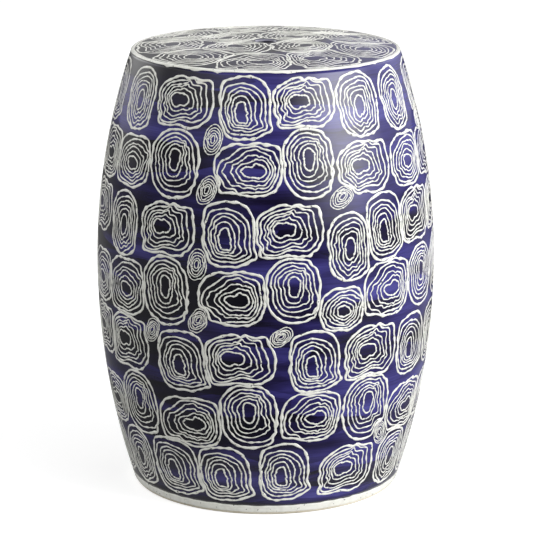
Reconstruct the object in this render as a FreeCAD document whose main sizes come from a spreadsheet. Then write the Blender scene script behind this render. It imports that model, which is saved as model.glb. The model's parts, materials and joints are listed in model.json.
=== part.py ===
import FreeCAD, Part
import Sketcher

import math
import os
import re
from collections import namedtuple

# A barrel-shaped ceramic garden stool, built as a potter builds it: two half barrels pressed in
# moulds and luted together at the belly, a turned foot ring under them, a domed seat slab let into
# the rim, a coil of clay pressed over every seam inside, and coats of glaze outside.
# Millimetres, +Z up, the origin on the floor at the stool's own axis.

# Driving dimensions, and what each one measures
DRIVING = [
    ("overall_height", 457.0, "floor to the crown of the seat"),
    ("rim_height", 450.0, "floor to the corner where the wall's and the seat's curves cross"),
    ("rim_radius", 135.5, "axis to that corner"),
    ("belly_height", 228.5, "floor to the widest circle"),
    ("belly_radius", 173.0, "axis to the widest circle"),
    ("base_radius", 137.0, "axis to the wall's curve at the floor"),
    ("glaze", 0.8, "thickness of every coat of glaze"),
    ("wall", 8.0, "thickness of the clay wall"),
    ("seat", 9.0, "thickness of the clay seat slab"),
    ("lap", 10.0, "height of the half lap where the two half barrels join"),
    ("rebate_radius", 132.4, "axis to the edge of the seat slab, let into the rim"),
    ("rim_rounding", 2.5, "radius of the glazed edge between wall and seat"),
    ("rim_band_radius", 132.0, "axis to the inner edge of the pale band on the seat"),
    ("rim_band_height", 448.0, "floor to the lower edge of the pale band on the wall"),
    ("vent_radius", 9.5, "radius of the glazed vent in the seat"),
    ("vent_rounding", 3.0, "radius of the glazed lip of the vent"),
    ("vent_sponging", 2.0, "radius of the sponged lower edge of the vent"),
    ("vent_glaze_depth", 6.0, "how far the glaze runs down into the vent, below the crown"),
    ("foot_height", 10.0, "floor to the joint of foot ring and wall, where the blue starts"),
    ("foot_glaze_height", 2.5, "floor to the lower edge of the foot's glaze"),
    ("foot_rounding", 2.0, "radius of the foot's outer lower edge"),
    ("stand_radius", 126.0, "axis to the inner edge of the ring that the stool stands on"),
    ("trim_width", 3.5, "width of the bevel that the trimming tool leaves"),
    ("trim_height", 3.0, "floor to the trimmed underside of the foot's flange"),
    ("flange_radius", 104.0, "axis to the flange's inner edge"),
    ("flange_height", 11.0, "floor to the top of the flange"),
    ("flange_rounding", 3.6, "radius of the flange's sponged inner edges"),
    ("tongue_radius", 135.0, "axis to the outer side of the tongue on the foot ring"),
    ("tongue_height", 4.0, "height of the tongue above the foot joint"),
    ("corner_coil", 11.0, "leg of the coils pressed into the corners at seat and foot"),
    ("corner_coil_bow", 13.0, "radius of the hollow face of those coils"),
    ("belly_coil", 9.0, "half height of the coil pressed over the belly seam"),
    ("belly_coil_bow", 15.0, "radius of the swelling face of that coil"),
]

# Sizes worked out from the driving ones: the wall is two arcs that are upright at the belly,
# one through the base and one through the rim corner, and the seat is an arc over the rim corner.
DERIVED = [
    ("rim_inset", "belly_radius - rim_radius", "how far the rim corner lies inside the belly"),
    ("base_inset", "belly_radius - base_radius", "how far the base lies inside the belly"),
    ("dome_rise", "overall_height - rim_height", "how far the crown lies above the rim corner"),
    (
        "upper_radius",
        "(rim_inset^2 + (rim_height - belly_height)^2) / (2 * rim_inset)",
        "radius of the wall's upper arc",
    ),
    (
        "lower_radius",
        "(base_inset^2 + belly_height^2) / (2 * base_inset)",
        "radius of the wall's lower arc",
    ),
    ("dome_radius", "(rim_radius^2 + dome_rise^2) / (2 * dome_rise)", "radius of the seat's dome"),
    ("lap_radius", "belly_radius - glaze - wall / 2", "axis to the upright face of the half lap"),
    ("vent_clay_radius", "vent_radius + glaze", "radius of the vent in the bare clay"),
]

# A point of an outline: its place as two expressions, and which of the two are held in the sketch.
# The other is only near: the curves that meet there settle it.
Point = namedtuple("Point", "x y held")
# An arc of an outline on a circle about a known centre
Arc = namedtuple("Arc", "centre_x centre_y radius")
# An arc of an outline known by its radius and the side that it bulges to: 1 is left of its run
Bow = namedtuple("Bow", "radius side")
LINE = "line"

doc = FreeCAD.newDocument("garden_stool")


def make_sheet():
    """Writes the sizes into the document's spreadsheet, each under a name of its own."""
    sheet = doc.addObject("Spreadsheet::Sheet", "sizes")
    rows = [(name, str(value), meaning) for name, value, meaning in DRIVING]
    rows += [(name, "=" + formula, meaning) for name, formula, meaning in DERIVED]
    for number, (name, content, meaning) in enumerate(rows, start=1):
        sheet.set(f"A{number}", name)
        sheet.set(f"B{number}", content)
        sheet.set(f"C{number}", meaning)
        sheet.setAlias(f"B{number}", name)
    doc.recompute()
    return sheet


def from_sheet(expression):
    """An expression with every size's name pointed at the spreadsheet."""
    return re.sub(r"[a-z]\w+", lambda word: "sizes." + word.group(), expression)


def value_of(owner, expression):
    return float(owner.evalExpression(from_sheet(expression)))


def corner(x, y):
    return Point(x, y, "xy")


def at_height(y, near_x):
    return Point(near_x, y, "y")


def at_radius(x, near_y):
    return Point(x, near_y, "x")


def crossing(near_x, near_y):
    return Point(near_x, near_y, "")


def upper_wall_arc(depth):
    """The wall's upper arc, a depth inside the glazed surface."""
    return Arc("belly_radius - upper_radius", "belly_height", f"upper_radius - ({depth})")


def lower_wall_arc(depth):
    """The wall's lower arc, a depth inside the glazed surface."""
    return Arc("belly_radius - lower_radius", "belly_height", f"lower_radius - ({depth})")


def dome_arc(depth):
    """The seat's arc, a depth under the glazed surface."""
    return Arc("0", "overall_height - dome_radius", f"dome_radius - ({depth})")


def hold(sketch, edge, end, axis, expression):
    """Holds one coordinate of an edge's end, or of its centre, to an expression of the sizes."""
    value = value_of(sketch, expression)
    if abs(value) < 1e-9:
        other_axis = {"X": -2, "Y": -1}[axis]
        sketch.addConstraint(Sketcher.Constraint("PointOnObject", edge, end, other_axis))
        return
    kind = "Distance" + axis
    if value > 0:
        constraint = Sketcher.Constraint(kind, -1, 1, edge, end, value)
        expression = from_sheet(expression)
    else:
        constraint = Sketcher.Constraint(kind, edge, end, -1, 1, -value)
        expression = f"-({from_sheet(expression)})"
    index = sketch.addConstraint(constraint)
    sketch.setExpression(f"Constraints[{index}]", expression)


def hold_radius(sketch, edge, expression):
    index = sketch.addConstraint(Sketcher.Constraint("Radius", edge, value_of(sketch, expression)))
    sketch.setExpression(f"Constraints[{index}]", from_sheet(expression))


def bow_centre(start, end, radius, side):
    """The centre of the arc from start to end that bulges to the given side."""
    chord = end - start
    to_the_left = FreeCAD.Vector(-chord.y, chord.x, 0).normalize()
    distance = math.sqrt(radius**2 - (chord.Length / 2) ** 2)
    return (start + end) / 2 - to_the_left * side * distance


def add_arc(sketch, start, end, centre, radius):
    """Adds the short way round from start to end, and says which of its ends is the start."""
    first = math.atan2(start.y - centre.y, start.x - centre.x)
    last = math.atan2(end.y - centre.y, end.x - centre.x)
    turn = math.remainder(last - first, 2 * math.pi)
    if turn < 0:
        first, last = last, first
    circle = Part.Circle(centre, FreeCAD.Vector(0, 0, 1), radius)
    edge = sketch.addGeometry(Part.ArcOfCircle(circle, first, last), False)
    return (edge, 1, 2) if turn > 0 else (edge, 2, 1)


def add_edge(sketch, curve, start, end):
    """Adds one edge of an outline, and returns its number and which ends are its first and last."""
    if curve == LINE:
        return (sketch.addGeometry(Part.LineSegment(start, end), False), 1, 2)
    radius = value_of(sketch, curve.radius)
    if isinstance(curve, Bow):
        return add_arc(sketch, start, end, bow_centre(start, end, radius, curve.side), radius)
    centre = FreeCAD.Vector(value_of(sketch, curve.centre_x), value_of(sketch, curve.centre_y), 0)
    return add_arc(sketch, start, end, centre, radius)


def draw_outline(sketch, outline):
    """Draws a closed outline of (point, curve to the next point) and ties it to the sizes."""
    points = [point for point, _ in outline]
    curves = [curve for _, curve in outline]
    places = [
        FreeCAD.Vector(value_of(sketch, point.x), value_of(sketch, point.y), 0) for point in points
    ]
    following = places[1:] + places[:1]
    edges = [add_edge(sketch, *parts) for parts in zip(curves, places, following)]
    for (before, _, last), (after, first, _) in zip(edges, edges[1:] + edges[:1]):
        sketch.addConstraint(Sketcher.Constraint("Coincident", before, last, after, first))
    for number, (point, curve) in enumerate(outline):
        edge, first, _ = edges[number]
        for axis in point.held:
            hold(sketch, edge, first, axis.upper(), getattr(point, axis))
        next_point = points[(number + 1) % len(points)]
        if isinstance(curve, Arc):
            hold(sketch, edge, 3, "X", curve.centre_x)
            hold(sketch, edge, 3, "Y", curve.centre_y)
        passes_a_corner = "xy" in (point.held, next_point.held)
        if isinstance(curve, Bow) or (isinstance(curve, Arc) and not passes_a_corner):
            hold_radius(sketch, edge, curve.radius)


def turn(name, outline):
    """A body turned about the stool's axis from an outline in the upright plane."""
    body = doc.addObject("PartDesign::Body", name)
    body.Label = name
    sketch = body.newObject("Sketcher::SketchObject", name + "_outline")
    upright = next(plane for plane in body.Origin.OriginFeatures if plane.Role == "XZ_Plane")
    sketch.AttachmentSupport = [(upright, "")]
    sketch.MapMode = "FlatFace"
    draw_outline(sketch, outline)
    doc.recompute()
    if not sketch.FullyConstrained:
        raise RuntimeError(f"the outline of {name} isn't fully constrained")
    turned = body.newObject("PartDesign::Revolution", name + "_turned")
    turned.Profile = sketch
    turned.ReferenceAxis = (sketch, ["V_Axis"])
    turned.Angle = 360
    sketch.Visibility = False
    doc.recompute()
    return body


def is_level_circle(edge):
    upright = FreeCAD.Vector(0, 0, 1)
    return isinstance(edge.Curve, Part.Circle) and edge.Curve.Axis.isParallel(upright, 1e-6)


def circle_at(shape, radius, height):
    """The name of the circular edge nearest to a radius and height about the stool's axis."""

    def miss(edge):
        return math.hypot(edge.Curve.Radius - radius, edge.Curve.Center.z - height)

    circles = [
        (miss(edge), f"Edge{number}")
        for number, edge in enumerate(shape.Edges, start=1)
        if is_level_circle(edge)
    ]
    return min(circles)[1]


def round_edges(body, name, rounding, places):
    """Rounds the circular edges of a body that lie nearest to the given places."""
    base = body.Tip
    fillet = body.newObject("PartDesign::Fillet", name)
    names = [
        circle_at(base.Shape, value_of(body, radius), value_of(body, height))
        for radius, height in places
    ]
    fillet.Base = (base, names)
    fillet.Radius = value_of(body, rounding)
    fillet.setExpression("Radius", from_sheet(rounding))
    body.Tip = fillet
    doc.recompute()
    if abs(fillet.Shape.Volume - base.Shape.Volume) < 1:
        raise RuntimeError(f"{name} changed nothing")


def make_foot_ring():
    """The thick trimmed foot: a narrow standing ring, a flange turned in, and a tongue for the wall."""
    flange_top = "glaze + wall"
    body = turn(
        "foot_ring",
        [
            (corner("stand_radius", "0"), LINE),
            (at_height("0", "base_radius - glaze"), lower_wall_arc("glaze")),
            (at_height("foot_height", "base_radius + 2"), LINE),
            (corner("tongue_radius", "foot_height"), LINE),
            (corner("tongue_radius", "foot_height + tongue_height"), LINE),
            (
                at_height("foot_height + tongue_height", "tongue_radius - tongue_height / 2"),
                lower_wall_arc(flange_top),
            ),
            (at_height("flange_height", "tongue_radius - tongue_height"), LINE),
            (corner("flange_radius", "flange_height"), LINE),
            (corner("flange_radius", "trim_height"), LINE),
            (corner("stand_radius - trim_width", "trim_height"), LINE),
        ],
    )
    round_edges(
        body,
        "flange_edges_sponged",
        "flange_rounding",
        [("flange_radius", "trim_height"), ("flange_radius", "flange_height")],
    )
    round_edges(body, "foot_edge_softened", "foot_rounding", [("base_radius - glaze", "0")])
    return body


def make_lower_wall():
    """The lower half barrel: rebated over the foot's tongue, with its own tongue at the belly."""
    return turn(
        "lower_wall",
        [
            (at_height("foot_height", "base_radius + 2"), lower_wall_arc("glaze")),
            (corner("belly_radius - glaze", "belly_height"), LINE),
            (corner("lap_radius", "belly_height"), LINE),
            (corner("lap_radius", "belly_height + lap"), LINE),
            (
                at_height("belly_height + lap", "belly_radius - glaze - wall"),
                upper_wall_arc("glaze + wall"),
            ),
            (corner("belly_radius - glaze - wall", "belly_height"), lower_wall_arc("glaze + wall")),
            (at_height("foot_height + tongue_height", "tongue_radius - tongue_height / 2"), LINE),
            (corner("tongue_radius", "foot_height + tongue_height"), LINE),
            (corner("tongue_radius", "foot_height"), LINE),
        ],
    )


def make_upper_wall():
    """The upper half barrel: its skirt laps over the lower one, and its rim holds the seat slab."""
    body = turn(
        "upper_wall",
        [
            (corner("belly_radius - glaze", "belly_height"), upper_wall_arc("glaze")),
            (crossing("rim_radius - glaze", "rim_height - glaze"), dome_arc("glaze")),
            (at_radius("rebate_radius", "rim_height - glaze"), LINE),
            (at_radius("rebate_radius", "rim_height - seat"), dome_arc("glaze + seat")),
            (crossing("rim_radius - wall", "rim_height - seat"), upper_wall_arc("glaze + wall")),
            (at_height("belly_height + lap", "belly_radius - glaze - wall"), LINE),
            (corner("lap_radius", "belly_height + lap"), LINE),
            (corner("lap_radius", "belly_height"), LINE),
        ],
    )
    round_edges(
        body, "rim_edge_softened", "rim_rounding - glaze", [("rim_radius - glaze", "rim_height - glaze")]
    )
    return body


def make_seat_slab():
    """The domed slab that is let into the rim, pierced by the vent with its softened edges."""
    body = turn(
        "seat_slab",
        [
            (at_radius("vent_clay_radius", "overall_height - glaze - seat"), dome_arc("glaze + seat")),
            (at_radius("rebate_radius", "rim_height - seat"), LINE),
            (at_radius("rebate_radius", "rim_height - glaze"), dome_arc("glaze")),
            (at_radius("vent_clay_radius", "overall_height - glaze"), LINE),
        ],
    )
    round_edges(
        body,
        "vent_lip_softened",
        "vent_rounding - glaze",
        [("vent_clay_radius", "overall_height - glaze")],
    )
    round_edges(
        body,
        "vent_underside_sponged",
        "vent_sponging",
        [("vent_clay_radius", "overall_height - glaze - seat")],
    )
    return body


def make_foot_coil():
    """The coil pressed into the corner of foot flange and wall."""
    near_x = "base_radius - glaze - wall + 3"
    coil_top = "flange_height + corner_coil"
    return turn(
        "foot_coil",
        [
            (at_height("flange_height", near_x), lower_wall_arc("glaze + wall")),
            (at_height(coil_top, near_x + " + corner_coil / 4"), Bow("corner_coil_bow", 1)),
            (corner("tongue_radius - tongue_height - corner_coil", "flange_height"), LINE),
        ],
    )


def make_belly_coil():
    """The flattened coil pressed over the seam of the two half barrels."""
    near_x = "belly_radius - glaze - wall"
    middle = "belly_height + lap"
    return turn(
        "belly_coil",
        [
            (at_height(middle + " - belly_coil", near_x), upper_wall_arc("glaze + wall")),
            (at_height(middle + " + belly_coil", near_x), Bow("belly_coil_bow", -1)),
        ],
    )


def make_seat_coil():
    """The coil pressed into the corner of wall and seat slab."""
    near_x = "rim_radius - wall + 1"
    near_y = "rim_height - seat"
    coil_edge = "rebate_radius - corner_coil - 3"
    coil_bottom = near_y + " - corner_coil"
    return turn(
        "seat_coil",
        [
            (crossing(near_x, near_y), dome_arc("glaze + seat")),
            (at_radius(coil_edge, near_y + " + 1"), Bow("corner_coil_bow", 1)),
            (at_height(coil_bottom, near_x + " + 3"), upper_wall_arc("glaze + wall")),
        ],
    )


def make_foot_glaze():
    """The pale coat round the foot, which stops short of the floor."""
    return turn(
        "foot_glaze",
        [
            (at_height("foot_glaze_height", "base_radius"), lower_wall_arc("0")),
            (at_height("foot_height", "base_radius + 3"), LINE),
            (at_height("foot_height", "base_radius + 2"), lower_wall_arc("glaze")),
            (at_height("foot_glaze_height", "base_radius - glaze"), LINE),
        ],
    )


def make_barrel_glaze():
    """The blue coat over both half barrels, from the foot to the rim."""
    return turn(
        "barrel_glaze",
        [
            (at_height("foot_height", "base_radius + 3"), lower_wall_arc("0")),
            (corner("belly_radius", "belly_height"), upper_wall_arc("0")),
            (at_height("rim_band_height", "rim_radius + 1"), LINE),
            (at_height("rim_band_height", "rim_radius"), upper_wall_arc("glaze")),
            (corner("belly_radius - glaze", "belly_height"), lower_wall_arc("glaze")),
            (at_height("foot_height", "base_radius + 2"), LINE),
        ],
    )


def make_rim_glaze():
    """The pale coat over the rounded edge between the wall and the seat."""
    body = turn(
        "rim_glaze",
        [
            (at_height("rim_band_height", "rim_radius + 1"), upper_wall_arc("0")),
            (crossing("rim_radius", "rim_height"), dome_arc("0")),
            (at_radius("rim_band_radius", "rim_height + 0.5"), LINE),
            (at_radius("rim_band_radius", "rim_height - 0.3"), dome_arc("glaze")),
            (crossing("rim_radius - glaze", "rim_height - glaze"), upper_wall_arc("glaze")),
            (at_height("rim_band_height", "rim_radius"), LINE),
        ],
    )
    round_edges(body, "rim_glaze_outside", "rim_rounding", [("rim_radius", "rim_height")])
    round_edges(
        body,
        "rim_glaze_inside",
        "rim_rounding - glaze",
        [("rim_radius - glaze", "rim_height - glaze")],
    )
    return body


def make_seat_glaze():
    """The blue coat over the seat, which rolls over the lip of the vent and a little way down it."""
    vent_bottom = "overall_height - vent_glaze_depth"
    body = turn(
        "seat_glaze",
        [
            (corner("vent_radius", vent_bottom), LINE),
            (corner("vent_clay_radius", vent_bottom), LINE),
            (at_radius("vent_clay_radius", "overall_height - glaze"), dome_arc("glaze")),
            (at_radius("rim_band_radius", "rim_height - 0.3"), LINE),
            (at_radius("rim_band_radius", "rim_height + 0.5"), dome_arc("0")),
            (at_radius("vent_radius", "overall_height"), LINE),
        ],
    )
    round_edges(body, "vent_glaze_outside", "vent_rounding", [("vent_radius", "overall_height")])
    round_edges(
        body,
        "vent_glaze_inside",
        "vent_rounding - glaze",
        [("vent_clay_radius", "overall_height - glaze")],
    )
    return body


def check_document():
    """Stops if any object of the document has failed, which a recompute alone doesn't say."""
    for thing in doc.Objects:
        failures = {"Invalid", "Error"} & set(thing.State)
        if failures:
            raise RuntimeError(f"{thing.Name} is {failures}")


def check_shape(part):
    shape = part.Shape
    if shape.isNull() or not shape.isValid() or len(shape.Solids) != 1:
        raise RuntimeError(f"{part.Label} isn't one valid solid")


def write_parts(parts):
    os.makedirs("parts", exist_ok=True)
    for part in parts:
        part.Shape.exportStep(f"parts/{part.Label}.step")
        print(f"{part.Label}: {part.Shape.Volume / 1000:.1f} cm3")


make_sheet()
parts = [
    make_foot_ring(),
    make_lower_wall(),
    make_upper_wall(),
    make_seat_slab(),
    make_foot_coil(),
    make_belly_coil(),
    make_seat_coil(),
    make_foot_glaze(),
    make_barrel_glaze(),
    make_rim_glaze(),
    make_seat_glaze(),
]
doc.recompute()
check_document()
for part in parts:
    check_shape(part)
write_parts(parts)
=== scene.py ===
import json
import math
from collections import namedtuple

import bpy
import numpy as np
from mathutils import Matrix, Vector


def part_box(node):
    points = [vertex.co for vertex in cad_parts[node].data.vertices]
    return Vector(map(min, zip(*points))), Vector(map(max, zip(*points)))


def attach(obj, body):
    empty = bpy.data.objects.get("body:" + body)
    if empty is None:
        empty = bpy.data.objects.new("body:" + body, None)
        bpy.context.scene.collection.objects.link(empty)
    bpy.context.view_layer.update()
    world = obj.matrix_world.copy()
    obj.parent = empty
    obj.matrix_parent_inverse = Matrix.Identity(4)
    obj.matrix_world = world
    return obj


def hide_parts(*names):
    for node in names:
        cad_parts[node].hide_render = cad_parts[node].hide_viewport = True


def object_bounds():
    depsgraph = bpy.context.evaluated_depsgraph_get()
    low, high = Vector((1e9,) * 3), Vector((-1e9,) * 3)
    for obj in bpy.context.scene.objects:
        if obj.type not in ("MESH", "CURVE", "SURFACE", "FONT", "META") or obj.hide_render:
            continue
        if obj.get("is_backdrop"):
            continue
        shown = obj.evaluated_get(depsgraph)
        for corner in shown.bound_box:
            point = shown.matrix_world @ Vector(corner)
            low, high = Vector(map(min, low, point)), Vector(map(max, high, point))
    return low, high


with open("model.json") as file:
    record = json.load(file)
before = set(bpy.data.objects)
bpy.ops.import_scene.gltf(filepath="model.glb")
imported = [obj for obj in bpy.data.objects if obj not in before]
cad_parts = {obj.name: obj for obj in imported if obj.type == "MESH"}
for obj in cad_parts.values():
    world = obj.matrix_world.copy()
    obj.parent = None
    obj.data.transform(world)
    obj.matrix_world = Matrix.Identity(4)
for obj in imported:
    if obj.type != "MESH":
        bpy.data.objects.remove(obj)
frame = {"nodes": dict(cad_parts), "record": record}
cad_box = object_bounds()

# A ceramic garden stool: ivory ring lines, a little proud of a brushed blue glaze, with a pale
# band at the rim and another round the foot. Metres, +Z up, the stool's axis at X = Y = 0.
# An azimuth is in radians, 0 towards the camera and growing towards +X.

MM = 0.001

# Depths of the finish below the CAD model's glazed surface, which nothing stands proud of
LINE_TOP = 0.02 * MM
GROUND_DEPTH = 0.22 * MM
LINE_ROOT = 0.32 * MM
BAND_ROOT = 0.40 * MM
WAVINESS = 0.12 * MM
COAT = 0.8 * MM

# Sizes of the meshes' cells
LINE_STEP = 1.5 * MM
SKIN_STEP = 3.0 * MM
TURN_STEPS = 360

AZIMUTHS = np.linspace(0, 2 * math.pi, TURN_STEPS, endpoint=False)


# Sizes read from the frame

def ring_radius(node, height):
    """The outer radius of a CAD node's ring of points at a height."""
    points = np.array([vertex.co for vertex in frame["nodes"][node].data.vertices])
    ring = points[abs(points[:, 2] - height) < 0.05 * MM]
    return float(np.hypot(ring[:, 0], ring[:, 1]).max())


def arc_radius(inset, rise):
    """The radius of an arc that starts upright and comes in by inset over rise."""
    return (inset**2 + rise**2) / (2 * inset)


BARREL_BOTTOM, BARREL_TOP = (corner.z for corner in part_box("barrel_glaze"))
FOOT_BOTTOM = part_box("foot_glaze")[0].z
BELLY_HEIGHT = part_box("upper_wall")[0].z
BELLY_RADIUS = ring_radius("barrel_glaze", BELLY_HEIGHT)
LOWER_ARC = arc_radius(
    BELLY_RADIUS - ring_radius("barrel_glaze", BARREL_BOTTOM), BELLY_HEIGHT - BARREL_BOTTOM
)
UPPER_ARC = arc_radius(
    BELLY_RADIUS - ring_radius("barrel_glaze", BARREL_TOP), BARREL_TOP - BELLY_HEIGHT
)
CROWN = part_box("seat_glaze")[1].z
SEAT_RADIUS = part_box("seat_glaze")[1].x
SEAT_EDGE_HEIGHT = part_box("rim_glaze")[1].z
DOME_ARC = arc_radius(CROWN - SEAT_EDGE_HEIGHT, SEAT_RADIUS)
VENT_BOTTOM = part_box("seat_glaze")[0].z
VENT_RADIUS = 9.5 * MM
VENT_ROUNDING = 3.0 * MM
LIP_RADIUS = VENT_RADIUS + VENT_ROUNDING
RIM_ROUNDING = 2.5 * MM


# Places on the glazed surface. A place on the wall is an azimuth and the way up from the belly
# along the wall; a place on the seat is how far right and how far back it is from the vent.

def waviness(azimuth, way):
    """How far the hand-finished surface dips at a place: slow waves round and along it."""
    waves = (
        np.sin(5 * azimuth + 21 * way)
        + np.sin(9 * azimuth - 34 * way + 1.7)
        + np.sin(14 * azimuth + 47 * way + 4.1)
    )
    return WAVINESS * (0.5 + waves / 6)


def turned(azimuth, radius, height):
    """Points at a radius and height about the stool's axis."""
    return np.stack([radius * np.sin(azimuth), -radius * np.cos(azimuth), height], axis=-1)


def wall_point(azimuth, up, depth):
    depth = depth + waviness(azimuth, up)
    arc = np.where(up > 0, UPPER_ARC, LOWER_ARC)
    radius = BELLY_RADIUS - arc + (arc - depth) * np.cos(up / arc)
    return turned(azimuth, radius, BELLY_HEIGHT + (arc - depth) * np.sin(up / arc))


def wall_radius(up):
    arc = UPPER_ARC if up > 0 else LOWER_ARC
    return BELLY_RADIUS - arc + arc * math.cos(up / arc)


def way_up(height):
    """The way up the wall from the belly to a height."""
    arc = UPPER_ARC if height > BELLY_HEIGHT else LOWER_ARC
    return arc * math.asin((height - BELLY_HEIGHT) / arc)


def seat_point(right, back, depth):
    distance = np.hypot(right, back)
    azimuth = np.arctan2(right, -back)
    depth = depth + waviness(azimuth, distance)
    lean = distance / DOME_ARC
    radius = (DOME_ARC - depth) * np.sin(lean)
    return turned(azimuth, radius, CROWN - DOME_ARC + (DOME_ARC - depth) * np.cos(lean))


def seat_height(distance):
    return CROWN - DOME_ARC + math.sqrt(DOME_ARC**2 - distance**2)


def rim_corner():
    """Where the wall's and the seat's curves cross: the way up the wall, and the radius."""
    height = BARREL_TOP
    for _ in range(8):
        height = seat_height(wall_radius(way_up(height)))
    return way_up(height), wall_radius(way_up(height))


RIM_WAY, RIM_RADIUS = rim_corner()
# How far the surface faces upwards there, on the wall's side and on the seat's, in radians
WALL_LEAN = RIM_WAY / UPPER_ARC
SEAT_LEAN = math.pi / 2 - RIM_RADIUS / DOME_ARC

# Ways up the wall, and its radius at each
WAYS = np.linspace(way_up(BARREL_BOTTOM), RIM_WAY, 200)
RADII = np.array([wall_radius(way) for way in WAYS])


# Mesh helpers

def make_piece(name, points, quads, slot, material, stands_for=()):
    """A smooth-shaded piece of the stool, in the material given; slot is not used."""
    mesh = bpy.data.meshes.new(name)
    mesh.from_pydata(points, [], quads)
    mesh.validate()
    mesh.shade_smooth()
    mesh.materials.append(material)
    piece = bpy.data.objects.new(name, mesh)
    bpy.context.scene.collection.objects.link(piece)
    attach(piece, "root")
    if stands_for:
        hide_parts(stands_for)
    return piece


def loop_quads(rings, steps):
    """The quads of a tube: rings of points, each with as many steps, closed both ways."""
    ring, step = np.meshgrid(np.arange(rings), np.arange(steps), indexing="ij")
    next_ring, next_step = (ring + 1) % rings, (step + 1) % steps
    corners = [ring * steps + step, ring * steps + next_step]
    corners += [next_ring * steps + next_step, next_ring * steps + step]
    return np.stack([corner.ravel() for corner in corners], axis=-1)


def skin(outer, inner):
    """A closed coat from rows of points round the stool, outside and inside."""
    rows = np.concatenate([outer, inner[::-1]])
    return rows.reshape(-1, 3), loop_quads(len(rows), rows.shape[1])


# The ring patterns. A motif is a nest of closed lines: the outermost is a rounded box with
# pulled or dented places, the innermost goes round a cell, and the others lie between them.
# A motif's own sizes are in millimetres.

# A dent or bulge: where it is (degrees, anticlockwise from the right), its share of the
# motif's reach there, and how wide it spreads (degrees)
Bump = namedtuple("Bump", "angle amount spread")

# touch is the angle where the second line runs into the first
Motif = namedtuple("Motif", "width height squareness bumps cell_at cell_size cell_bumps touch rings")

MOTIFS = {
    "wide": Motif(
        66, 53, 2.5,
        [Bump(40, 0.17, 9), Bump(-95, -0.10, 16), Bump(-138, 0.14, 10), Bump(112, 0.03, 15)],
        (-5, 2), (21, 14), [Bump(-70, -0.40, 20), Bump(-125, 0.12, 20), Bump(150, 0.14, 20)], 78, 6,
    ),
    "tall": Motif(
        52, 67, 2.6,
        [Bump(133, 0.08, 9), Bump(-41, 0.16, 12), Bump(-90, -0.04, 20), Bump(-165, 0.03, 20)],
        (-3, -4), (12, 22), [Bump(40, -0.32, 22), Bump(-60, 0.15, 18)], 176, 6,
    ),
    "egg": Motif(
        56, 70, 2.25,
        [Bump(-55, 0.07, 8), Bump(-122, -0.03, 20), Bump(148, 0.03, 18)],
        (1, 4), (12, 22), [Bump(-40, -0.28, 20), Bump(120, 0.12, 18)], -30, 6,
    ),
    "broad": Motif(
        69, 55, 2.35,
        [Bump(100, -0.10, 15), Bump(-141, 0.16, 9), Bump(38, 0.12, 11), Bump(-44, 0.05, 14)],
        (6, -2), (22, 13), [Bump(128, -0.38, 18), Bump(180, 0.15, 22), Bump(50, 0.15, 20)], -112, 6,
    ),
    "oval": Motif(
        47, 68, 2.4,
        [Bump(-48, 0.12, 8), Bump(160, 0.03, 20), Bump(-165, -0.04, 15), Bump(75, 0.03, 15)],
        (1, -2), (11, 22), [Bump(-60, -0.15, 30)], -95, 6,
    ),
    "block": Motif(
        60, 56, 2.5,
        [Bump(45, 0.13, 8), Bump(98, -0.05, 15), Bump(-42, 0.04, 14), Bump(-134, 0.10, 10)],
        (2, -3), (17, 13), [Bump(140, 0.2, 25)], 20, 6,
    ),
    "small": Motif(
        20, 31, 1.9,
        [Bump(-60, 0.10, 16), Bump(60, 0.08, 20), Bump(165, -0.08, 25)],
        (0, 0), (4, 9), [Bump(-90, -0.15, 25)], 200, 5,
    ),
}

CELL_SQUARENESS = 2.2

# Widths of the lines, from a motif's outermost line inwards
LINE_WIDTHS = {"outer": 2.8, "second": 1.9, "inner": 1.55, "cell": 1.85, "small": 1.15}

# How unsteady the lines are: how far they swing and ripple, how much their spacing and width
# change, the angle over which two touch (degrees), and the lengths of their straight runs.
# A motif narrower than the full-scale width is drawn that much finer. The hand's share is what
# differs between two motifs of a kind, and the cell's share what the innermost line has alone.
FULL_SCALE_WIDTH = 30
HAND_SHARE = 0.35
CELL_SHARE = 0.7
LINE_SWING = 0.65
LINE_RIPPLE = 0.95
SPACING_SWING = 0.30
WIDTH_SWING = 0.32
TOUCH_SPREAD = 14
OUTER_RUN = 5.5
INNER_RUN = 3.2

# Spacing of a big motif's lines from the outermost inwards, as shares of an even one
SPACINGS = [1.1, 1.05, 0.9, 0.95, 1.0]

# How motifs make room for each other: how far apart their outlines stay, how far away a
# neighbour's middle may be (metres), how many times they give way, how much less a small motif
# gives way than a big one, and the least share of its reach that one keeps each time
OUTLINE_GAP = 2.4
NEIGHBOURHOOD = 0.09
SETTLING_ROUNDS = 7
SMALL_FIRMNESS = 3.0
LEAST_KEPT = 0.45

ANGLES = np.linspace(-math.pi, math.pi, 480, endpoint=False)
HEADINGS = np.stack([np.cos(ANGLES), np.sin(ANGLES)], axis=-1)


def hump(angle, spread, angles):
    """A smooth hump of height 1 about an angle in degrees, over angles in radians."""
    away = np.degrees(np.angle(np.exp(1j * (angles - math.radians(angle)))))
    return np.exp(-((away / spread) ** 2))


def box_reach(width, height, squareness, bumps):
    """How far a rounded box with bumps reaches from its middle at each angle."""
    across = abs(HEADINGS[:, 0]) / (width / 2)
    along = abs(HEADINGS[:, 1]) / (height / 2)
    reach = (across**squareness + along**squareness) ** (-1 / squareness)
    for bump in bumps:
        reach = reach * (1 + bump.amount * hump(bump.angle, bump.spread, ANGLES))
    return reach


def wiggle(rng, angles, waves):
    """Smooth noise round a closed line, of unit size, made of a range of whole waves."""
    counts = np.arange(*waves)
    sizes = rng.normal(size=len(counts)) / np.sqrt(len(counts))
    phases = rng.uniform(0, 2 * math.pi, len(counts))
    return (sizes[:, None] * np.cos(counts[:, None] * angles + phases[:, None])).sum(axis=0)


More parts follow.
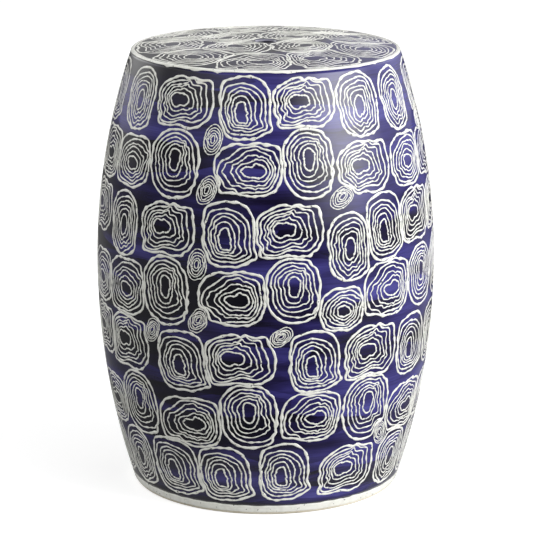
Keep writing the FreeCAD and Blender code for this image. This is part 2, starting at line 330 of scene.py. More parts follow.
def evenly_spaced(line, step):
    """A closed line's points at even steps along it."""
    closed = np.vstack([line, line[:1]])
    along = np.concatenate([[0], np.cumsum(np.linalg.norm(np.diff(closed, axis=0), axis=1))])
    count = max(12, round(along[-1] / step))
    places = np.linspace(0, along[-1], count, endpoint=False)
    return np.stack([np.interp(places, along, closed[:, axis]) for axis in (0, 1)], axis=-1)


def cut_corners(line):
    """A closed polygon with each corner cut off, which twice over leaves a soft angular line."""
    ahead = np.roll(line, -1, axis=0)
    return np.stack([0.75 * line + 0.25 * ahead, 0.25 * line + 0.75 * ahead], axis=1).reshape(-1, 2)


class Nest:
    """One motif on the stool. place turns its own (right, up, depth) into points, and pen is
    how broad its lines are."""

    def __init__(self, kind, place, seed, size=None, pen=1.0):
        self.kind = kind
        self.motif = MOTIFS[kind]
        self.place = place
        self.pen = pen
        self.print_rng = np.random.default_rng(list(kind.encode()))
        self.hand_rng = np.random.default_rng(seed)
        width, height = size or (self.motif.width, self.motif.height)
        self.stretch = np.array([width / self.motif.width, height / self.motif.height])
        self.scale = min(1, self.motif.width / FULL_SCALE_WIDTH)
        self.firmness = SMALL_FIRMNESS if kind == "small" else 1.0
        self.middle = place(0.0, 0.0, 0.0)
        self.sideways = self.unit_step(MM, 0.0)
        self.upwards = self.unit_step(0.0, MM)
        self.unrest = np.clip(0.6 + 0.6 * wiggle(self.print_rng, ANGLES, (1, 4)), 0.2, 1.4)
        self.reach = box_reach(width, height, self.motif.squareness, self.motif.bumps)
        self.reach = self.reach - self.line_width(0) / 2 + self.unsteadiness()

    def unit_step(self, right, up):
        step = self.place(right, up, 0.0) - self.middle
        return step / np.linalg.norm(step)

    def unsteadiness(self):
        """How far a line strays in and out round the motif."""
        swing = wiggle(self.print_rng, ANGLES, (3, 9))
        swing = swing + HAND_SHARE * wiggle(self.hand_rng, ANGLES, (2, 12))
        ripple = self.unrest * wiggle(self.print_rng, ANGLES, (9, 24))
        return self.scale * (LINE_SWING * swing + LINE_RIPPLE * ripple)

    def outline(self):
        right, up = (HEADINGS * self.reach[:, None] * MM).T
        return self.place(right, up, 0.0)

    def overlap(self, points):
        """How far points of a neighbour's outline come inside this one's, and the gap round it."""
        offsets = points - self.middle
        right, up = offsets @ self.sideways / MM, offsets @ self.upwards / MM
        reach = np.interp(np.arctan2(up, right), ANGLES, self.reach, period=2 * math.pi)
        return reach + OUTLINE_GAP - np.hypot(right, up)

    def depths(self):
        """How far in from the outline each line is, as a share of the way to the cell."""
        rings = self.motif.rings
        spacings = []
        for ring in range(1, rings):
            even = SPACINGS[ring - 1] if self.kind != "small" else 1
            spacings.append(even * np.exp(SPACING_SWING * wiggle(self.print_rng, ANGLES, (1, 5))))
        spacings[0] = spacings[0] * (1 - hump(self.motif.touch, TOUCH_SPREAD, ANGLES))
        sums = np.cumsum([np.zeros(len(ANGLES)), *spacings], axis=0)
        return sums / sums[-1]

    def line_width(self, ring):
        if self.kind == "small":
            return LINE_WIDTHS["small"]
        names = {0: "outer", 1: "second", self.motif.rings - 1: "cell"}
        return LINE_WIDTHS[names.get(ring, "inner")] * self.pen

    def lines(self):
        """The motif's closed lines about its middle: (points, widths) of each, in metres."""
        motif = self.motif
        edge = HEADINGS * self.reach[:, None]
        cell_width, cell_height = np.array(motif.cell_size) * self.stretch
        cell = box_reach(cell_width, cell_height, CELL_SQUARENESS, motif.cell_bumps)
        middle = np.array(motif.cell_at) * self.stretch + HEADINGS * cell[:, None]
        shared = self.unsteadiness()
        innermost = self.unsteadiness()
        lines = []
        for ring, depth in enumerate(self.depths()):
            share = ring / (motif.rings - 1)
            stray = (1 - abs(2 * share - 1)) * shared + CELL_SHARE * share * innermost
            if ring > 0:
                stray = stray + HAND_SHARE * self.scale * wiggle(self.hand_rng, ANGLES, (4, 18))
            line = edge + (middle - edge) * depth[:, None] + HEADINGS * stray[:, None]
            run = OUTER_RUN if ring < 2 else INNER_RUN
            polygon = evenly_spaced(line * MM, run * MM * self.scale)
            points = evenly_spaced(cut_corners(polygon), LINE_STEP * self.scale)
            turn = np.linspace(0, 2 * math.pi, len(points), endpoint=False)
            swell = WIDTH_SWING * wiggle(self.hand_rng, turn, (3, 30))
            lines.append((points, self.line_width(ring) * MM * np.clip(1 + swell, 0.6, 1.7)))
        return lines


def settle(nests, room):
    """Makes motifs give way to each other until their outlines only touch.

    room says how far inside the patterned surface points are, in metres."""
    middles = np.array([nest.middle for nest in nests])
    for _ in range(SETTLING_ROUNDS):
        shrinks = []
        for nest in nests:
            outline = nest.outline()
            shrink = np.maximum(0, -room(outline) / MM)
            near = np.linalg.norm(middles - nest.middle, axis=1) < NEIGHBOURHOOD
            for number in np.flatnonzero(near):
                other = nests[number]
                if other is not nest:
                    share = other.firmness / (other.firmness + nest.firmness)
                    shrink = np.maximum(shrink, other.overlap(outline) * share)
            shrinks.append(shrink)
        for nest, shrink in zip(nests, shrinks):
            nest.reach = np.maximum(nest.reach - shrink, LEAST_KEPT * nest.reach)


# Across a line: how far out from its middle as a share of its half width, and how deep
LINE_SECTION = [(-1, LINE_ROOT), (-0.55, LINE_TOP), (0.55, LINE_TOP), (1, LINE_ROOT)]


def line_tube(points, widths, place):
    """A low rounded ridge along a closed line."""
    ahead = np.roll(points, -1, axis=0) - np.roll(points, 1, axis=0)
    ahead /= np.linalg.norm(ahead, axis=1, keepdims=True)
    aside = np.stack([-ahead[:, 1], ahead[:, 0]], axis=-1)
    rows = []
    for out, depth in LINE_SECTION:
        edge = points + aside * (out * widths / 2)[:, None]
        rows.append(place(edge[:, 0], edge[:, 1], depth))
    return np.concatenate(rows), loop_quads(len(LINE_SECTION), len(points))


def make_lines(name, nests, material):
    """All the lines of some motifs as one piece."""
    tubes = [line_tube(*line, nest.place) for nest in nests for line in nest.lines()]
    starts = np.cumsum([0] + [len(points) for points, _ in tubes[:-1]])
    points = np.concatenate([points for points, _ in tubes])
    quads = np.concatenate([quads + start for (_, quads), start in zip(tubes, starts)])
    return make_piece(name, points, quads, "pale_glaze", material)


def on_wall(azimuth, up, tilt=0.0):
    """Puts a motif's own right and up on the wall, about a place there."""
    def place(right, above, depth):
        level = right * math.cos(tilt) + above * math.sin(tilt)
        way = up + above * math.cos(tilt) - right * math.sin(tilt)
        return wall_point(azimuth + level / np.interp(way, WAYS, RADII), way, depth)
    return place


def on_seat(azimuth, distance):
    """Puts a motif's own right and up on the seat, with its top towards the vent."""
    def place(right, above, depth):
        side, back = math.sin(azimuth), -math.cos(azimuth)
        outwards = distance - above
        return seat_point(outwards * side - right * back, outwards * back + right * side, depth)
    return place


# The motifs that the photograph shows on the wall, in rows from the top: the azimuth of each in
# degrees, its lower and upper ends in millimetres up the wall from the belly, its width in
# millimetres, and its kind. Behind them each row goes on evenly with motifs of its back kinds.
Row = namedtuple("Row", "shown back_kinds")

ROWS = [
    Row([
        (-57, 155, 220, 48, "oval"), (-33, 165, 217, 67, "wide"), (-8, 157, 222, 52, "tall"),
        (15, 168, 219, 64, "wide"), (38, 155, 221, 52, "oval"), (59, 154, 220, 46, "oval"),
    ], ["wide", "tall"]),
    Row([
        (-55, 99, 153, 60, "block"), (-34, 96, 166, 59, "egg"), (-6, 104, 158, 71, "broad"),
        (15, 100, 171, 54, "egg"), (37, 99, 153, 66, "wide"), (60, 98, 153, 60, "block"),
    ], ["egg", "broad"]),
    Row([
        (-56, 29, 96, 48, "oval"), (-35, 39, 93, 67, "wide"), (-12.4, 33, 101, 54, "tall"),
        (8, 43, 97, 69, "wide"), (28.5, 16, 86, 48, "oval"), (44, 30, 101, 50, "tall"),
        (62, 40, 96, 64, "wide"),
    ], ["tall", "wide"]),
    Row([
        (-54, -30, 30, 64, "block"), (-35, -31, 41, 57, "egg"), (-11, -24, 33, 71, "broad"),
        (9, -22, 46, 57, "egg"), (25.7, -33, 13, 50, "block"), (44.5, -26, 34, 66, "broad"),
        (64, -28, 38, 56, "egg"),
    ], ["block", "egg"]),
    Row([
        (-54, -88, -29, 68, "wide"), (-29, -98, -32, 58, "tall"), (-9, -87, -32, 76, "wide"),
        (16.5, -96, -28, 53, "tall"), (38, -89, -31, 67, "wide"), (59, -97, -30, 54, "tall"),
    ], ["wide", "tall"]),
    Row([
        (-51, -157, -86, 56, "egg"), (-28, -158, -101, 73, "broad"), (-6, -155, -82, 60, "egg"),
        (16, -148, -91, 63, "broad"), (38, -156, -80, 60, "egg"), (60, -158, -102, 68, "broad"),
    ], ["egg", "broad"]),
    Row([
        (-58, -219, -152, 48, "oval"), (-37, -219, -150, 57, "tall"), (-16, -219, -153, 55, "tall"),
        (7, -217, -147, 51, "tall"), (33, -215, -158, 66, "wide"), (57, -218, -152, 50, "oval"),
    ], ["wide", "tall"]),
]

# The small motifs in the gaps: azimuth in degrees, millimetres up the wall, tilt in degrees, and
# size. The first eight are in the photograph.
SMALLS = [
    (-19.3, 158, 10, 1.0), (-20.3, 109, 25, 1.0), (26.8, 101, 55, 1.0), (-23, 35.5, 8, 1.05),
    (-22.4, -20, 35, 0.95), (-40.7, -38, 25, 0.9), (4.9, -34, 55, 0.85), (46.6, -152, -25, 0.95),
    (78, 160, 10, 0.9), (112, 96, -20, 0.9), (151, 34, 15, 0.9), (98, -30, -15, 0.9),
    (171, 157, -10, 0.9), (-160, 98, 20, 0.9), (-118, 35, -20, 0.9), (-84, -95, 10, 0.9),
    (-96, 158, 0, 0.9), (133, -152, 25, 0.9), (-148, -30, -10, 0.9), (178, -90, 10, 0.9),
]

BACK_PITCH = 57

# How far the outlines stay from the edges of the blue glaze
EDGE_MARGIN = 2.0 * MM


def row_nests(number, row):
    """A row's motifs: the ones the photograph shows, then even ones behind."""
    nests = []
    for column, (azimuth, low, high, width, kind) in enumerate(row.shown):
        place = on_wall(math.radians(azimuth), (low + high) / 2 * MM)
        nests.append(Nest(kind, place, [number, column], (width, high - low)))
    hangs = number % 2 == 1
    ends = [high if hangs else low for _, low, high, _, _ in row.shown]
    edge = sorted(ends)[len(ends) // 2]
    first, last = math.radians(row.shown[0][0]) + 2 * math.pi, math.radians(row.shown[-1][0])
    count = round((first - last) * wall_radius(edge * MM) / (BACK_PITCH * MM)) - 1
    for spare in range(1, count + 1):
        kind = row.back_kinds[spare % 2]
        half = MOTIFS[kind].height / 2
        azimuth = last + (first - last) * spare / (count + 1)
        place = on_wall(azimuth, (edge - half if hangs else edge + half) * MM)
        nests.append(Nest(kind, place, [number, len(row.shown) + spare]))
    return nests


def wall_room(points):
    heights = points[:, 2]
    return np.minimum(BARREL_TOP - EDGE_MARGIN - heights, heights - BARREL_BOTTOM - EDGE_MARGIN)


def make_wall_lines(material):
    rows = [row_nests(number, row) for number, row in enumerate(ROWS, start=1)]
    smalls = []
    for number, (azimuth, up, tilt, size) in enumerate(SMALLS):
        place = on_wall(math.radians(azimuth), up * MM, math.radians(tilt))
        motif = MOTIFS["small"]
        smalls.append(Nest("small", place, [90, number], (motif.width * size, motif.height * size)))
    settle(sum(rows, smalls), wall_room)
    for number, nests in enumerate(rows, start=1):
        make_lines(f"ring_lines_row_{number}", nests, material)
    make_lines("ring_lines_small", smalls, material)


# Two rings of motifs on the seat: how far out, how many, the azimuth of the first, the size of
# each, and the kinds in turn
SEAT_RINGS = [
    (98, 9, -6, (76, 70), ["broad", "wide", "block"]),
    (43, 4, -38, (68, 62), ["wide", "broad"]),
]
SEAT_PEN = 0.88


def seat_room(points):
    distances = np.hypot(points[:, 0], points[:, 1])
    return np.minimum(SEAT_RADIUS - EDGE_MARGIN - distances, distances - LIP_RADIUS - EDGE_MARGIN)


def make_seat_lines(material):
    nests = []
    for ring, (distance, count, first, size, kinds) in enumerate(SEAT_RINGS):
        for number in range(count):
            place = on_seat(math.radians(first + 360 * number / count), distance * MM)
            kind = kinds[number % len(kinds)]
            nests.append(Nest(kind, place, [100 + ring, number], size, SEAT_PEN))
    settle(nests, seat_room)
    make_lines("ring_lines_seat", nests, material)


# The blue coats that carry the lines

def wall_row(way, depth):
    return wall_point(AZIMUTHS, np.broadcast_to(way, AZIMUTHS.shape), depth)


def seat_row(distance, depth):
    return seat_point(distance * np.sin(AZIMUTHS), -distance * np.cos(AZIMUTHS), depth)


# How far the blue coats go on under the rim's pale band, and the rows across the seat's
RIM_LAP = 0.8 * MM
SEAT_ROWS = 40


def make_barrel_coat(material):
    low, high = way_up(BARREL_BOTTOM), way_up(BARREL_TOP) + RIM_LAP
    ways = np.linspace(low, high, round((high - low) / SKIN_STEP))
    outer, inner = (np.stack([wall_row(way, depth) for way in ways]) for depth in (GROUND_DEPTH, COAT))
    make_piece("blue_coat_of_wall", *skin(outer, inner), "blue_glaze", material, "barrel_glaze")


def seat_coat_rows(depth):
    """Rows of the seat's coat from its edge inwards, over the vent's lip and down its side."""
    distances = np.linspace(SEAT_RADIUS + RIM_LAP, LIP_RADIUS + MM, SEAT_ROWS)
    rows = [seat_row(distance, depth) for distance in distances]
    for lean in np.radians([0, 15, 30, 45, 60, 75, 90]):
        radius = LIP_RADIUS - (VENT_ROUNDING - depth) * math.sin(lean)
        height = CROWN - VENT_ROUNDING + (VENT_ROUNDING - depth) * math.cos(lean)
        rows.append(turned(AZIMUTHS, radius, np.full(TURN_STEPS, height)))
    rows.append(turned(AZIMUTHS, VENT_RADIUS + depth, np.full(TURN_STEPS, VENT_BOTTOM)))
    return np.stack(rows)


def make_seat_coat(material):
    coat = skin(seat_coat_rows(GROUND_DEPTH), seat_coat_rows(COAT))
    make_piece("blue_coat_of_seat", *coat, "blue_glaze", material, "seat_glaze")


# The pale bands, brushed on by hand: their edges waver, and lie over the blue coats

# How far the foot's band laps over the wall's coat, how far the rim's band stays inside its own
# place on both sides, how far a band's edges stray, and how much lower it is beside them
FOOT_LAP = 0.5 * MM
RIM_INSET = 0.3 * MM
BAND_WAVER = 0.3 * MM
EDGE_DROP = 0.08 * MM

# Drips and thick places along the rim band's lower edge: azimuth in degrees and how far down
RIM_DRIPS = [(-45, 1.3), (-31, 1.6), (-29, 1.0), (-20, 1.5), (9, 0.7), (52, 1.0), (118, 1.4), (-150, 1.2)]
DRIP_SPREAD = 1.1


def waver(seed):
    """How far a band's edge strays at each azimuth."""
    return BAND_WAVER * wiggle(np.random.default_rng(seed), AZIMUTHS, (3, 60))


def band_depths(count):
    """Depths across a band: its outer rows dip under the blue coats."""
    beside = LINE_TOP + EDGE_DROP
    return [BAND_ROOT, beside] + [LINE_TOP] * (count - 4) + [beside, BAND_ROOT]


def make_foot_band(material):
    low = way_up(FOOT_BOTTOM) + abs(waver(1))
    high = way_up(BARREL_BOTTOM) + FOOT_LAP + waver(2)
    shares = [0, 0.04, 0.12, 0.3, 0.5, 0.7, 0.88, 0.96, 1]
    ways = [low + (high - low) * share for share in shares]
    outer = np.stack([wall_row(way, depth) for way, depth in zip(ways, band_depths(len(ways)))])
    inner = np.stack([wall_row(way, COAT) for way in ways])
    make_piece("pale_band_of_foot", *skin(outer, inner), "pale_glaze", material, "foot_glaze")


def rim_arc_row(share, depth):
    """A row of the rounded rim, from the wall's side at share 0 to the seat's at share 1."""
    middle = (WALL_LEAN + SEAT_LEAN) / 2
    to_centre = RIM_ROUNDING / math.cos((SEAT_LEAN - WALL_LEAN) / 2)
    lean = WALL_LEAN + (SEAT_LEAN - WALL_LEAN) * share
    dips = (1 - share) * waviness(AZIMUTHS, RIM_WAY) + share * waviness(AZIMUTHS, RIM_RADIUS)
    out = RIM_ROUNDING - depth - dips
    radius = RIM_RADIUS - to_centre * math.cos(middle) + out * math.cos(lean)
    height = seat_height(RIM_RADIUS) - to_centre * math.sin(middle) + out * math.sin(lean)
    return turned(AZIMUTHS, radius, height)


def make_rim_band(material):
    tangent = RIM_ROUNDING * math.tan((SEAT_LEAN - WALL_LEAN) / 2)
    low = way_up(BARREL_TOP) + RIM_INSET + waver(3)
    for azimuth, length in RIM_DRIPS:
        low -= length * MM * hump(azimuth, DRIP_SPREAD, AZIMUTHS)
    edge = SEAT_RADIUS + RIM_INSET + waver(4)
    beside_arc = tangent + 0.1 * MM
    places = [(wall_row, low + step * MM) for step in (0, 0.1, 0.3)]
    places.append((wall_row, RIM_WAY - beside_arc))
    places += [(rim_arc_row, share) for share in (0, 0.25, 0.5, 0.75, 1)]
    places.append((seat_row, RIM_RADIUS - beside_arc))
    places += [(seat_row, edge + step * MM) for step in (0.8, 0.3, 0.1, 0)]
    depths = band_depths(len(places))
    outer = np.stack([make_row(at, depth) for (make_row, at), depth in zip(places, depths)])
    inner = np.stack([make_row(at, COAT) for make_row, at in places])
    make_piece("pale_band_of_rim", *skin(outer, inner), "pale_glaze", material, "rim_glaze")


# Materials

def new_material(name):
    material = bpy.data.materials.new(name)
    material.use_nodes = True
    return material, material.node_tree, material.node_tree.nodes["Principled BSDF"]


def add_place(tree, stretch, waver_size=0.0):
    """The stool's own coordinates times a stretch, if asked for with a waver of that size in Z."""
    place = tree.nodes.new("ShaderNodeTexCoord").outputs["Object"]
    if waver_size:
        noise = tree.nodes.new("ShaderNodeTexNoise")
        noise.inputs["Scale"].default_value = 22.0
        noise.inputs["Detail"].default_value = 3.0
        tree.links.new(place, noise.inputs["Vector"])
        offset = tree.nodes.new("ShaderNodeVectorMath")
        offset.operation = "MULTIPLY_ADD"
        offset.inputs[1].default_value = (0, 0, waver_size)
        tree.links.new(noise.outputs["Color"], offset.inputs[0])
        tree.links.new(place, offset.inputs[2])
        place = offset.outputs[0]
    mapping = tree.nodes.new("ShaderNodeMapping")
    mapping.inputs["Scale"].default_value = stretch
    tree.links.new(place, mapping.inputs["Vector"])
    return mapping.outputs["Vector"]


def add_noise(tree, stretch, detail, roughness=0.5):
    """Noise in the stool's own frame: stretch is how many cells a metre holds along X, Y, Z."""
    noise = tree.nodes.new("ShaderNodeTexNoise")
    noise.inputs["Scale"].default_value = 1.0
    noise.inputs["Detail"].default_value = detail
    noise.inputs["Roughness"].default_value = roughness
    tree.links.new(add_place(tree, stretch), noise.inputs["Vector"])
    return noise.outputs["Fac"]


def add_blocks(tree, stretch, waver_size):
    """A level that changes from one brush load to the next, with wavering level edges."""
    cells = tree.nodes.new("ShaderNodeTexVoronoi")
    cells.inputs["Scale"].default_value = 1.0
    tree.links.new(add_place(tree, stretch, waver_size), cells.inputs["Vector"])
    parts = tree.nodes.new("ShaderNodeSeparateColor")
    tree.links.new(cells.outputs["Color"], parts.inputs["Color"])
    return parts.outputs["Red"]


def add_ramp(tree, factor, stops):
    """A colour ramp over a factor: (position, (red, green, blue)) stops."""
    ramp = tree.nodes.new("ShaderNodeValToRGB")
    elements = ramp.color_ramp.elements
    while len(elements) < len(stops):
        elements.new(0.5)
    for element, (position, colour) in zip(elements, stops):
        element.position = position
        element.color = (*colour, 1)
    tree.links.new(factor, ramp.inputs["Fac"])
    return ramp.outputs["Color"]


def feed(tree, source, socket):
    """Gives a socket its source, which is another socket or a constant."""
    if isinstance(source, bpy.types.NodeSocket):
        tree.links.new(source, socket)
    else:
        socket.default_value = source


def add_math(tree, operation, *sources):
    """A sum, product or the like, of sockets and numbers."""
    node = tree.nodes.new("ShaderNodeMath")
    node.operation = operation
    for source, socket in zip(sources, node.inputs):
        feed(tree, source, socket)
    return node.outputs[0]


def combine(tree, operation, first, *others):
    """Any number of levels added together or multiplied."""
    for other in others:
        first = add_math(tree, operation, first, other)
    return first


def add_vector_math(tree, operation, vector):
    node = tree.nodes.new("ShaderNodeVectorMath")
    node.operation = operation
    tree.links.new(vector, node.inputs[0])
    return node.outputs


def add_span(tree, value, low, high, at_low, at_high):
    """A level that goes smoothly from at_low to at_high as a value goes from low to high."""
    span = tree.nodes.new("ShaderNodeMapRange")
    span.interpolation_type = "SMOOTHSTEP"
    for socket, number in zip(span.inputs[1:5], (low, high, at_low, at_high)):
        socket.default_value = number
    tree.links.new(value, span.inputs[0])
    return span.outputs[0]


def add_parts(tree, vector):
    parts = tree.nodes.new("ShaderNodeSeparateXYZ")
    tree.links.new(vector, parts.inputs["Vector"])
    return parts.outputs


def add_mix(tree, blend_type, factor, first, second):
    """Two colours mixed by a factor, each a socket or a constant."""
    mix = tree.nodes.new("ShaderNodeMix")
    mix.data_type = "RGBA"
    mix.blend_type = blend_type
    for source, socket in ((factor, mix.inputs[0]), (first, mix.inputs[6]), (second, mix.inputs[7])):
        feed(tree, source, socket)
    return mix.outputs[2]


def multiply_colours(tree, first, second):
    return add_mix(tree, "MULTIPLY", 1.0, first, second)


def add_bump(tree, height, distance, shader):
    bump = tree.nodes.new("ShaderNodeBump")
    bump.inputs["Distance"].default_value = distance
    tree.links.new(height, bump.inputs["Height"])
    tree.links.new(bump.outputs["Normal"], shader.inputs["Normal"])


def grey(level):
    return (level, level, level)


def add_thinness_and_painted_light(tree, at):
    """How thin the cobalt is, with painted light added. It changes from stroke to stroke and from one
    brush load to the next, and is thinner near the rim; towards +X, the side the right softbox
    lights, it is made paler as painted light."""
    blocks = add_math(tree, "MULTIPLY", add_blocks(tree, (8, 8, 50), 0.010), 0.25)
    strokes = add_math(tree, "MULTIPLY", add_noise(tree, (9, 9, 50), 2.0, 0.5), 0.75)
    # Painted light: the cobalt is made paler towards +X, where the right softbox falls
    to_right = add_span(tree, at["X"], -0.12, 0.13, -0.05, 0.13)
    near_rim = combine(
        tree, "MULTIPLY",
        add_span(tree, at["Z"], 0.33, 0.41, 0.0, 0.10),
        add_span(tree, at["Z"], BARREL_TOP, BARREL_TOP + 2 * MM, 1.0, 0.0),
    )
    return combine(tree, "ADD", blocks, strokes, to_right, near_rim)


def add_lip_highlight_mask(tree, at):
    """A level that is 1 on the vent's lip and 0 away from it: where the painted highlight goes."""
    from_axis = add_vector_math(tree, "LENGTH", add_place(tree, (1, 1, 0)))["Value"]
    return combine(
        tree, "MULTIPLY",
        add_span(tree, from_axis, VENT_RADIUS, LIP_RADIUS, 1.0, 0.0),
        add_span(tree, at["Z"], CROWN - VENT_ROUNDING, CROWN - 0.3 * VENT_ROUNDING, 0.0, 1.0),
    )


def blue_glaze_material():
    """Cobalt brushed on in level strokes under a clear glaze: nearly black where it is thick, bright
    where it is thin, paler towards +X as painted light, darker just above its lower edge, and with
    a painted highlight of pale grey on the vent's lip."""
    material, tree, shader = new_material("blue_glaze_brushed")
    at = add_parts(tree, add_place(tree, (1, 1, 1)))
    colour = add_ramp(tree, add_thinness_and_painted_light(tree, at), [
        (0.34, (0.0018, 0.0012, 0.0060)),
        (0.44, (0.0048, 0.0032, 0.0170)),
        (0.52, (0.0110, 0.0080, 0.0430)),
        (0.62, (0.0220, 0.0175, 0.1000)),
        (0.72, (0.0370, 0.0320, 0.1650)),
        (0.84, (0.0560, 0.0520, 0.2250)),
    ])
    streaks = add_noise(tree, (26, 26, 900), 2.0, 0.6)
    streak_tone = add_ramp(tree, streaks, [(0.35, grey(0.80)), (0.65, grey(1.15))])
    # Darker in the last few millimetres above the blue's lower edge, along a wavering line
    height = add_parts(tree, add_place(tree, (1, 1, 1), 0.001))["Z"]
    darker_near_lower_edge = add_ramp(tree, height, [
        (BARREL_BOTTOM + 1.2 * MM, grey(0.35)), (BARREL_BOTTOM + 3.0 * MM, grey(1.0)),
    ])
    colour = multiply_colours(tree, multiply_colours(tree, colour, streak_tone), darker_near_lower_edge)
    # Painted highlight: the vent's lip is painted pale grey
    colour = add_mix(tree, "MIX", add_lip_highlight_mask(tree, at), colour, (0.30, 0.30, 0.36, 1))
    tree.links.new(colour, shader.inputs["Base Color"])
    shader.inputs["Roughness"].default_value = 0.10
    shader.inputs["IOR"].default_value = 1.5
    add_bump(tree, add_noise(tree, grey(45), 2.0), 0.15 * MM, shader)
    return material


def pale_glaze_material():
    """Ivory glaze, a little thinner here and there, with a few pinholes."""
    material, tree, shader = new_material("pale_glaze_ivory")
    thickness = add_noise(tree, grey(160), 3.0)
    colour = add_ramp(tree, thickness, [
        (0.30, (0.72, 0.72, 0.66)),
        (0.50, (0.80, 0.80, 0.74)),
        (0.70, (0.83, 0.83, 0.78)),
    ])
    pinholes = add_noise(tree, grey(420), 0.0)
    pinhole_tone = add_ramp(tree, pinholes, [(0.20, grey(0.25)), (0.25, grey(1.0))])
    tree.links.new(multiply_colours(tree, colour, pinhole_tone), shader.inputs["Base Color"])
    shader.inputs["Roughness"].default_value = 0.16
    shader.inputs["IOR"].default_value = 1.5
    add_bump(tree, thickness, 0.08 * MM, shader)
    return material


def clay_material(name, dark, light, fineness):
    """Bare fired stoneware: speckled, dull and slightly rough."""
    material, tree, shader = new_material(name)
    cloud = add_noise(tree, grey(24), 4.0)
    colour = add_ramp(tree, cloud, [(0.35, dark), (0.65, light)])
    grains = add_noise(tree, grey(fineness), 2.0, 0.7)
    grain_tone = add_ramp(tree, grains, [(0.30, grey(0.70)), (0.42, grey(1.0))])
    tree.links.new(multiply_colours(tree, colour, grain_tone), shader.inputs["Base Color"])
    shader.inputs["Roughness"].default_value = 0.78
    add_bump(tree, grains, 0.25 * MM, shader)
    return material


def dress(node, material):
    """Gives a CAD node its material."""
    slots = frame["nodes"][node].data.materials
    for index in range(len(slots)):
        slots[index] = material


materials = {
    "foot_clay": clay_material("foot_clay_sponged", (0.60, 0.54, 0.42), (0.72, 0.67, 0.55), 700),
    "wall_clay": clay_material("wall_clay_bare", (0.58, 0.53, 0.43), (0.70, 0.65, 0.55), 520),
    "coil_clay": clay_material("coil_clay_smoothed", (0.54, 0.49, 0.39), (0.66, 0.61, 0.50), 620),
    "pale_glaze": pale_glaze_material(),
    "blue_glaze": blue_glaze_material(),
}
for subpart in frame["record"]["subparts"]:
    dress(subpart["node"], materials[subpart["material_slot"]])

# The pieces

make_barrel_coat(materials["blue_glaze"])
make_seat_coat(materials["blue_glaze"])
make_foot_band(materials["pale_glaze"])
make_rim_band(materials["pale_glaze"])
make_wall_lines(materials["pale_glaze"])
make_seat_lines(materials["pale_glaze"])


# The camera, at the photograph's angle: fitted to the stool's outline in it

IMAGE_WIDTH = 540
FOCAL_PIXELS = 2710.6
AXIS_LEFT_OF_CENTRE = 4.3
CAMERA_BACK = 2.7043
CAMERA_HEIGHT = 0.9157
CAMERA_DOWN = math.radians(14.47)


def make_camera():
    data = bpy.data.cameras.new("camera")
    data.sensor_width = 36
    data.lens = data.sensor_width * FOCAL_PIXELS / IMAGE_WIDTH
    data.shift_x = AXIS_LEFT_OF_CENTRE / IMAGE_WIDTH
    camera = bpy.data.objects.new("camera", data)
    camera.location = (0, -CAMERA_BACK, CAMERA_HEIGHT)
    camera.rotation_euler = (math.pi / 2 - CAMERA_DOWN, 0, 0)
    bpy.context.scene.collection.objects.link(camera)
    bpy.context.scene.camera = camera


# The studio: a soft lamp on each side above the stool's height, a bright upright window of light
# on the right that the glaze reflects, and dim surroundings low down in front

LAMP_AIM = Vector((0, 0, 0.23))

# A span is a level that changes with direction: along which part of the direction, where it
# starts and stops changing, and the levels there. Aside is how far to either side.
SURROUNDINGS = [
    ("aside", 0.10, 0.42, 0.3, 1.0),
    ("back", 0.0, 0.6, 1.0, 1.5),
    ("up", 0.42, 0.70, 1.0, 0.10),
]

# The lights in the surroundings: the azimuth (degrees) that a light's spans take as the front,
# and the spans that multiply to its level
LIGHTS = {
    "left": (0, [
        ("right", -0.6, -0.3, 1.0, 0.0),
        ("back", -0.1, 0.9, 0.0, 1.3),
        ("up", -0.1, 0.2, 0.1, 1.6),
        ("up", 0.3, 0.6, 1.0, 0.0),
    ]),
    "right": (105, [
        ("back", -0.95, -0.5, 0.9, 0.0),
        ("up", -0.2, 0.25, 0.3, 1.0),
        ("up", 0.4, 0.75, 1.0, 0.0),
    ]),
    "window": (60, [
        ("aside", 0.0, 0.68, 7.2, 0.0),
        ("back", -0.4, -0.2, 1.0, 0.0),
        ("up", -0.10, 0.25, 0.2, 1.0),
        ("up", 0.34, 0.60, 1.0, 0.0),
    ]),
}


def direction(azimuth, elevation):
    """The direction from the stool to an azimuth and elevation in degrees."""
    around, above = math.radians(azimuth), math.radians(elevation)
    level = math.cos(above)
    return Vector((level * math.sin(around), -level * math.cos(around), math.sin(above)))


def make_lamp(name, azimuth, elevation, distance, size, power):
    data = bpy.data.lights.new(name, "AREA")
    data.shape = "RECTANGLE"
    data.size, data.size_y = size
    data.energy = power
    lamp = bpy.data.objects.new(name, data)
    outwards = direction(azimuth, elevation)
    lamp.location = LAMP_AIM + outwards * distance
    lamp.rotation_euler = (-outwards).to_track_quat("-Z", "Y").to_euler()
    lamp.visible_glossy = False
    bpy.context.scene.collection.objects.link(lamp)


def add_direction(tree, azimuth):
    """The parts of a direction of the surroundings, with an azimuth in degrees as the front."""
    turn = tree.nodes.new("ShaderNodeVectorRotate")
    turn.rotation_type = "Z_AXIS"
    turn.inputs["Angle"].default_value = math.radians(-azimuth)
    tree.links.new(tree.nodes.new("ShaderNodeTexCoord").outputs["Generated"], turn.inputs["Vector"])
    parts = add_parts(tree, turn.outputs["Vector"])
    aside = add_math(tree, "ABSOLUTE", parts["X"])
    return {"right": parts["X"], "aside": aside, "back": parts["Y"], "up": parts["Z"]}


def add_spans(tree, direction_parts, spans):
    """The product of some spans over a direction."""
    levels = [add_span(tree, direction_parts[part], *numbers) for part, *numbers in spans]
    return combine(tree, "MULTIPLY", *levels)


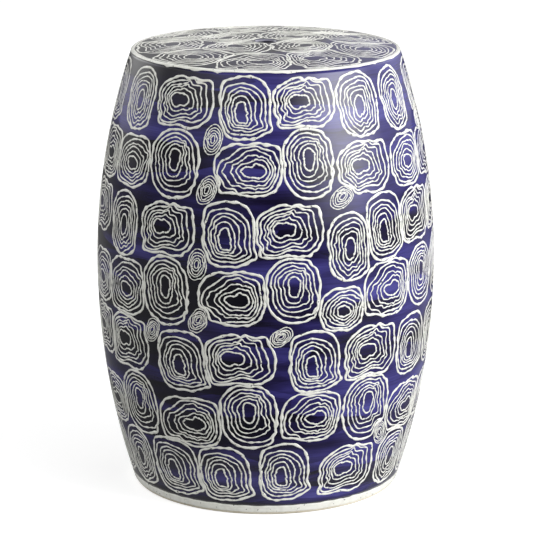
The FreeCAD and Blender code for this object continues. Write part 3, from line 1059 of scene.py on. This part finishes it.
def make_world():
    """White behind the stool, brighter upwards, dim low down and in front of it, with lights to
    the left and right and the window of light."""
    world = bpy.data.worlds.new("studio")
    world.use_nodes = True
    tree = world.node_tree
    background = tree.nodes["Background"]
    seen = add_direction(tree, 0)
    rise = combine(tree, "MULTIPLY", seen["up"], seen["up"], 4.4)
    level = add_math(tree, "MULTIPLY", add_math(tree, "ADD", rise, 0.17), add_spans(tree, seen, SURROUNDINGS))
    for azimuth, spans in LIGHTS.values():
        level = add_math(tree, "ADD", level, add_spans(tree, add_direction(tree, azimuth), spans))

    light_path = tree.nodes.new("ShaderNodeLightPath").outputs
    shown = add_math(tree, "MAXIMUM", light_path["Is Camera Ray"], light_path["Is Transmission Ray"])
    behind = add_span(tree, seen["back"], 0.75, 0.92, 0.0, 0.44)
    shown = add_math(tree, "MAXIMUM", shown, add_math(tree, "MULTIPLY", light_path["Is Glossy Ray"], behind))
    tree.links.new(add_math(tree, "MAXIMUM", level, shown), background.inputs["Strength"])
    background.inputs["Color"].default_value = (1, 1, 1, 1)
    bpy.context.scene.world = world


FLOOR_HALF = 6.0


def floor_material():
    """Plain and pale, shown white but for the stool's shadow. Away from the stool it sends
    little light back to it, but for the right side."""
    material, tree, shader = new_material("floor_pale")
    tree.nodes.remove(shader)
    shown = tree.nodes.new("ShaderNodeBsdfDiffuse")
    shown.inputs["Color"].default_value = (0.6, 0.6, 0.6, 1)
    lit = tree.nodes.new("ShaderNodeEmission")
    lit.inputs["Strength"].default_value = 0.60
    both = tree.nodes.new("ShaderNodeAddShader")
    tree.links.new(shown.outputs[0], both.inputs[0])
    tree.links.new(lit.outputs[0], both.inputs[1])

    place = tree.nodes.new("ShaderNodeTexCoord").outputs["Object"]
    heading = add_parts(tree, add_vector_math(tree, "NORMALIZE", place)["Vector"])
    to_right = add_math(tree, "MULTIPLY_ADD", heading["X"], 0.5, 0.5)
    far =add_ramp(tree, to_right, [
        (0.15, grey(0.25)), (0.40, grey(0.10)), (0.75, grey(0.07)), (0.90, grey(0.36)), (1.00, grey(0.24)),
    ])
    near = add_span(tree, add_vector_math(tree, "LENGTH", place)["Value"], 0.17, 0.30, 0.5, 0.0)
    dim = tree.nodes.new("ShaderNodeBsdfDiffuse")
    tree.links.new(add_math(tree, "MAXIMUM", near, far), dim.inputs["Color"])

    choice = tree.nodes.new("ShaderNodeMixShader")
    light_path = tree.nodes.new("ShaderNodeLightPath")
    tree.links.new(light_path.outputs["Is Camera Ray"], choice.inputs[0])
    tree.links.new(dim.outputs[0], choice.inputs[1])
    tree.links.new(both.outputs[0], choice.inputs[2])
    tree.links.new(choice.outputs[0], tree.nodes["Material Output"].inputs["Surface"])
    return material


def make_floor():
    half = FLOOR_HALF
    corners = [(-half, -half, 0), (half, -half, 0), (half, half, 0), (-half, half, 0)]
    mesh = bpy.data.meshes.new("floor")
    mesh.from_pydata(corners, [], [(0, 1, 2, 3)])
    floor = bpy.data.objects.new("floor", mesh)
    bpy.context.scene.collection.objects.link(floor)
    floor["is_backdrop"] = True
    mesh.materials.append(floor_material())


make_camera()
make_world()
make_floor()
make_lamp("softbox_right", 62, 28, 2.4, (1.3, 0.9), 31.5)
make_lamp("softbox_left", -64, 36, 2.6, (1.8, 0.8), 20.5)
bpy.context.scene.view_settings.view_transform = "Standard"

# The size of the CAD model and of the dressed one

boxes = {"cad": cad_box, "visual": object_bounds()}
{name: [list(corner) for corner in box] for name, box in boxes.items()}
